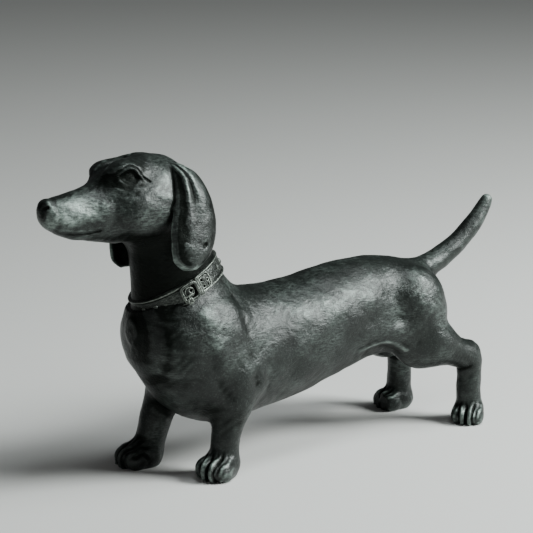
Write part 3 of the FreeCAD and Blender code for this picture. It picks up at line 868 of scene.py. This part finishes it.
# Spacing of the points on each kind of casting.
TORSO_GRID, LIMB_GRID, HEAD_GRID, EAR_GRID = 0.68, 0.5, 0.46, 0.45

sculpt("torso", "torso_shell", torso_field,
       lambda p: np.maximum.reduce([below_collar(p), -tail_zone(p)] + [-leg_zone(p, n) for n in CHAINS]),
       (-82, -30, 14), (92, 30, 104), TORSO_GRID, BODY, torso_wear_and_painted_light)
for leg_name, leg_rows in CHAINS.items():
    leg_xs = [row[0] for row in leg_rows]
    leg_sign = -1 if leg_name.startswith("left") else 1
    edges = sorted((leg_sign * 2, leg_sign * 34))
    sculpt(leg_name, leg_name, torso_field, lambda p, n=leg_name: leg_zone(p, n),
           (min(leg_xs) - 27, edges[0], -2), (max(leg_xs) + 23, edges[1], 46), LIMB_GRID, BODY, torso_wear_and_painted_light)
sculpt("tail", "tail", torso_field, tail_zone, (80, -9, 60), (129, 9, 107), LIMB_GRID, BODY)


# How far round an ear's own flap its casting takes in the head's skin.
EAR_ROOT = 1.0


def ear_zone(p, sign):
    return ear_local(to_local(p, HEAD_AT, HEAD_TURN), sign) - EAR_ROOT


sculpt("head", "head_shell", upper_field,
       lambda p: np.maximum.reduce([-below_collar(p), -ear_zone(p, -1), -ear_zone(p, 1)]),
       (-129, -22, 68), (-28, 22, 150), HEAD_GRID, BODY, head_wear_and_painted_light)
for ear_side, ear_sign in (("left", -1), ("right", 1)):
    ear_low, ear_high = node_box(f"{ear_side}_ear")
    sculpt(f"{ear_side}_ear", f"{ear_side}_ear", upper_field, lambda p, s=ear_sign: ear_zone(p, s),
           ear_low - 4, ear_high + 4, EAR_GRID, BODY)


# ---------------------------------------------------------------- eyes

def skin_side(x, z):
    """How far out the skull's side stands at a place on its side view, with no socket cut."""
    y = np.linspace(4, 20, 321)
    probe = np.stack([np.full_like(y, x), y, np.full_like(y, z)], 1)
    return float(np.interp(0, tube_x(probe, HEAD_TABLE), y))


# Depth of the line cut round the iris, and its angle from the middle of the ball.
IRIS_CUT, IRIS_EDGE = 0.16, 0.55


def ridge(distance, width):
    """The same rounded profile as a hump, for a single number."""
    return math.exp(-(distance / width) ** 2)


def eye(side, sign):
    """A ball with a shallow cut iris, set behind the lids."""
    rings, spokes = 28, 40
    points = []
    for i in range(rings + 1):
        polar = math.pi * i / rings
        r = EYE_RADIUS - IRIS_CUT * ridge(polar - IRIS_EDGE, 0.07)
        for j in range(spokes):
            b = 2 * math.pi * j / spokes
            points.append((r * math.sin(polar) * math.cos(b), r * math.sin(polar) * math.sin(b),
                           r * math.cos(polar)))
    look = turn("z", 0.35 * sign) @ turn("x", -sign * math.radians(84))
    inward = EYE_RADIUS + EYE_SUNK
    at = np.array([EYE_AT[0], sign * (skin_side(*EYE_AT) - inward), EYE_AT[1]])
    points = np.array(points) @ (HEAD_TURN @ look).T + HEAD_AT + HEAD_TURN @ at
    piece = make_mesh(f"{side}_eye", points, ring_faces(rings + 1, spokes))
    weld(piece)
    return settle(piece, [f"{side}_eye"], EYE)


def weld(piece):
    """Merges points that lie together, so that the piece is one closed skin."""
    work = bmesh.new()
    work.from_mesh(piece.data)
    bmesh.ops.remove_doubles(work, verts=work.verts, dist=0.00001)
    bmesh.ops.recalc_face_normals(work, faces=work.faces)
    work.to_mesh(piece.data)
    work.free()


for eye_side, eye_sign in (("left", -1), ("right", 1)):
    eye(eye_side, eye_sign)


# ---------------------------------------------------------------- collar

HALF_LENGTH, HALF_WIDTH = 23.6, 18.0
STRAP_HALF = 4.5
# Height of the strap's face and back over the collar's oval.
STRAP_FACE, STRAP_BACK = -0.5, -3.2
# How much closer the strap lies to the neck in front.
FRONT_TUCK = 1.9


def ring_point(angle, across, rise):
    """A point on the collar: angle round the neck, place across the strap, height over its face."""
    c, s = math.cos(angle), math.sin(angle)
    n = np.array([c / HALF_LENGTH, s / HALF_WIDTH, 0])
    n /= np.linalg.norm(n)
    front = FRONT_TUCK * max(0, -c) ** 2
    local = np.array([HALF_LENGTH * c + front, HALF_WIDTH * s, across]) + n * rise
    return COLLAR_AT + COLLAR_TURN @ local


def band(start, end, count, profile, closed):
    """A band along the collar with a closed profile of across, rise pairs given for each angle."""
    points = []
    for i in range(count):
        angle = start + (end - start) * i / (count if closed else count - 1)
        ring = profile(angle)
        points += [ring_point(angle, across, rise) for across, rise in ring]
    n = len(ring)
    faces = ring_faces(count, n, closed)
    if not closed:
        faces.append(tuple(range(n)))
        faces.append(tuple((count - 1) * n + a for a in reversed(range(n))))
    return np.array(points), faces


def strap():
    """The strap: raised edges with a line cut inside them, and a faintly tooled field between."""
    across = np.linspace(-STRAP_HALF, STRAP_HALF, 37)

    def profile(angle):
        outer = []
        for a in across:
            edge = abs(a)
            rise = STRAP_FACE + 0.5 * ridge(edge - 3.85, 0.45) - 0.25 * ridge(edge - 3.0, 0.22)
            rise -= 0.5 * max(0, (edge - 4.15) / 0.35) ** 2
            tooling = math.sin(46 * angle + 1.7 * math.sin(1.9 * a)) * math.cos(1.7 * a)
            rise += 0.1 * tooling * math.exp(-((a / 2.3) ** 4))
            outer.append((a, rise))
        return outer + [(STRAP_HALF, STRAP_BACK), (-STRAP_HALF, STRAP_BACK)]

    points, faces = band(0, 2 * math.pi, 560, profile, True)
    piece = make_mesh("collar_strap", points, faces)
    return settle(piece, ["collar_strap"], TRIM)


BUCKLE_ANGLE = -98
# Along the strap from the middle of the buckle: the plate behind it, and the ends of the upper layer.
PLATE_AT = 8.9
TIP_START, TIP_END = -3.4, 13.4
TIP_HALF = 3.9
PLATE_DOTS = ((-1.5, 1.5), (1.5, 0.2), (-1.3, -1.6), (1.2, -1.9))
KEEPER_TURN = 12.6


def pace(angle):
    """Radians round the collar for one millimetre along it."""
    return 1 / math.hypot(HALF_LENGTH * math.sin(angle), HALF_WIDTH * math.cos(angle))


def blob(x, y, size):
    return math.exp(-(((x * x + y * y) / (size * size)) ** 2))


def strap_end():
    """The layer over the strap: a panel with a hole inside the buckle, and a square plate behind it."""
    centre = math.radians(BUCKLE_ANGLE)
    per_mm = pace(math.radians(BUCKLE_ANGLE + 8))

    def panel(s, a):
        ring = 0.25 * ridge(math.hypot(s + 0.1, a) - 2.2, 0.35)
        return 0.75 * blob(s / 1.05, a, 2.5) - 0.95 * blob(s - 0.8, a - 0.35, 0.62) + ring

    def plate(p, a):
        square = (p**4 + a**4) ** 0.25
        rise = 0.62 * (0.5 - 0.5 * math.tanh((square - 3.75) / 0.16)) - 0.5 * ridge(square - 2.95, 0.24)
        rise += 0.3 * blob(p, a, 1.9) + 0.25 * (blob(p, a - 1.7, 0.9) + blob(p - 1.7, a, 0.9))
        for along, over in PLATE_DOTS:
            rise -= 0.8 * blob(p - along, a - over, 0.55)
        return rise

    def profile(angle):
        s = (angle - centre) / per_mm
        ring = []
        for a in np.linspace(-TIP_HALF, TIP_HALF, 67):
            rounding = -0.62 * max(0, abs(a) - 3.5) ** 2
            ring.append((a, -0.35 + panel(s, a) + plate(s - PLATE_AT, a) + rounding))
        return ring + [(TIP_HALF, -1.4), (-TIP_HALF, -1.4)]

    points, faces = band(centre + TIP_START * per_mm, centre + TIP_END * per_mm, 150, profile, False)
    piece = make_mesh("collar_tip", points, faces)
    return settle(piece, ["collar_tip"], TRIM)


def loop_path(half_length, half_height, rounding, count):
    """A rounded rectangle as angle offset and across pairs."""
    path = []
    for i in range(count):
        a = 2 * math.pi * i / count
        c, s = math.cos(a), math.sin(a)
        power = 2 / rounding
        path.append((half_length * math.copysign(abs(c) ** power, c),
                     half_height * math.copysign(abs(s) ** power, s)))
    return path


def loop_mesh(centre, along_at, across_at, half_length, half_height, wire, rise, rounding):
    """Points and faces of a rounded rectangular loop that follows the strap's curve."""
    path = loop_path(half_length, half_height, rounding, 96)
    points = []
    spokes = 16
    per_mm = pace(centre)
    for i, (along, across) in enumerate(path):
        before, after = path[i - 1], path[(i + 1) % len(path)]
        tx, ty = after[0] - before[0], after[1] - before[1]
        size = math.hypot(tx, ty) or 1
        nx, ny = ty / size, -tx / size
        for j in range(spokes):
            b = 2 * math.pi * j / spokes
            side = wire * math.copysign(abs(math.cos(b)) ** 0.6, math.cos(b))
            up = wire * math.copysign(abs(math.sin(b)) ** 0.6, math.sin(b))
            points.append(ring_point(centre + (along_at + along + nx * side) * per_mm,
                                     across_at + across + ny * side, rise + up))
    return points, ring_faces(len(path), spokes, closed=True)


def fitting(name, loops):
    """One fitting made of square-section loops: angle, along, across, half sizes, wire, rise, rounding."""
    points, faces = [], []
    for angle, *rest in loops:
        more_points, more_faces = loop_mesh(math.radians(angle), *rest)
        faces += [tuple(index + len(points) for index in face) for face in more_faces]
        points += more_points
    piece = make_mesh(name, np.array(points), faces)
    weld(piece)
    return settle(piece, [name], TRIM)


# How far the prong's middle lies from the buckle's, along and across the strap.
PRONG_BACK, PRONG_LOW = 1.5, 0.9


def rod(name, angle, half_length, wire, rise):
    """A tapering pin along the strap."""
    centre = math.radians(angle)
    per_mm = pace(centre)
    points = []
    stations, spokes = 24, 12
    for i in range(stations):
        t = i / (stations - 1)
        r = wire * math.sqrt(max(0.01, 1 - (2 * t - 1) ** 8)) * (1.15 - 0.35 * t)
        for j in range(spokes):
            b = 2 * math.pi * j / spokes
            along = (2 * t - 1) * half_length - PRONG_BACK
            points.append(ring_point(centre + along * per_mm, r * math.cos(b) - PRONG_LOW,
                                     rise + r * math.sin(b)))
    faces = ring_faces(stations, spokes)
    faces.append(tuple(range(spokes)))
    faces.append(tuple((stations - 1) * spokes + j for j in reversed(range(spokes))))
    piece = make_mesh(name, np.array(points), faces)
    weld(piece)
    return settle(piece, [name], TRIM)


STUD_COUNT, STUD_FIRST, STUD_STEP = 14, -44, 20
STUD_RADIUS, STUD_RISE = 1.25, 0.8


def studs():
    """Domed studs in a row round the strap, as one piece."""
    points, faces = [], []
    rings, spokes = 8, 16
    for number in range(STUD_COUNT):
        centre = math.radians(STUD_FIRST + STUD_STEP * number)
        per_mm = pace(centre)
        faces += ring_faces(rings + 1, spokes, first=len(points))
        for i in range(rings + 1):
            polar = math.pi * i / rings
            out, up = STUD_RADIUS * math.sin(polar), STUD_RISE * math.cos(polar)
            for j in range(spokes):
                b = 2 * math.pi * j / spokes
                points.append(ring_point(centre + out * math.cos(b) * per_mm, out * math.sin(b),
                                         STRAP_FACE + up))
    piece = make_mesh("collar_studs", np.array(points), faces)
    weld(piece)
    return settle(piece, ["collar_studs"], TRIM)


strap()
strap_end()
fitting("buckle_frame", [(BUCKLE_ANGLE, 0, 0, 3.75, 3.55, 0.68, 0.75, 4.5),
                         (BUCKLE_ANGLE, -1.7, -3.3, 1.0, 1.0, 0.36, 1.35, 4)])
rod("buckle_prong", BUCKLE_ANGLE, 2.4, 0.5, 1.15)
fitting("keeper_loop", [(BUCKLE_ANGLE + KEEPER_TURN, 0, 0, 0.45, 3.9, 0.55, 0.65, 5)])
studs()


# ---------------------------------------------------------------- studio

def area_light(name, at, target, size, power, colour):
    data = bpy.data.lights.new(name, "AREA")
    data.shape = "RECTANGLE"
    data.size, data.size_y = size
    data.energy = power
    data.color = colour
    light = bpy.data.objects.new(name, data)
    bpy.context.scene.collection.objects.link(light)
    light.location = at
    aim(light, target)


def aim(thing, target):
    thing.rotation_euler = (Vector(target) - thing.location).to_track_quat("-Z", "Y").to_euler()


def studio():
    reach = 3000
    corners = [(-reach, -reach, 0), (reach, -reach, 0), (reach, reach, 0), (-reach, reach, 0)]
    floor = make_mesh("floor", np.array(corners), [(0, 1, 2, 3)])
    pale = bpy.data.materials.new("pale_floor")
    pale.use_nodes = True
    shader = pale.node_tree.nodes["Principled BSDF"]
    shader.inputs["Base Color"].default_value = (0.56, 0.555, 0.54, 1)
    shader.inputs["Roughness"].default_value = 0.8
    floor.data.materials.append(pale)
    world = bpy.data.worlds.new("soft_room")
    bpy.context.scene.world = world
    world.use_nodes = True
    world.node_tree.nodes["Background"].inputs["Color"].default_value = (0.75, 0.78, 0.78, 1)
    world.node_tree.nodes["Background"].inputs["Strength"].default_value = 0.1
    middle = (0, 0, 0.07)
    area_light("key", (0.72, -0.66, 0.66), middle, (0.42, 0.46), 34, (0.94, 1, 0.985))
    area_light("top", (0.15, -0.25, 1.0), middle, (0.5, 0.3), 6, (0.93, 1, 1))
    area_light("front", (-0.85, -0.35, 0.5), middle, (0.12, 0.3), 0.5, (1, 1, 1))


def camera():
    """Long lens, a little above the dog and towards its left front quarter."""
    azimuth, elevation, distance = math.radians(36), math.radians(13.646), 1.1
    target = Vector((0.027, 0.04711, 0.073))
    back = Vector((-math.sin(azimuth) * math.cos(elevation), -math.cos(azimuth) * math.cos(elevation),
                   math.sin(elevation)))
    data = bpy.data.cameras.new("camera")
    data.sensor_width = 36
    data.lens = 156
    made = bpy.data.objects.new("camera", data)
    bpy.context.scene.collection.objects.link(made)
    right = Vector((math.cos(azimuth), -math.sin(azimuth), 0))
    up = back.cross(right)
    rotation = Matrix((right, up, back)).transposed().to_4x4()
    made.matrix_world = Matrix.Translation(target + back * distance) @ rotation
    bpy.context.scene.camera = made


studio()
camera()
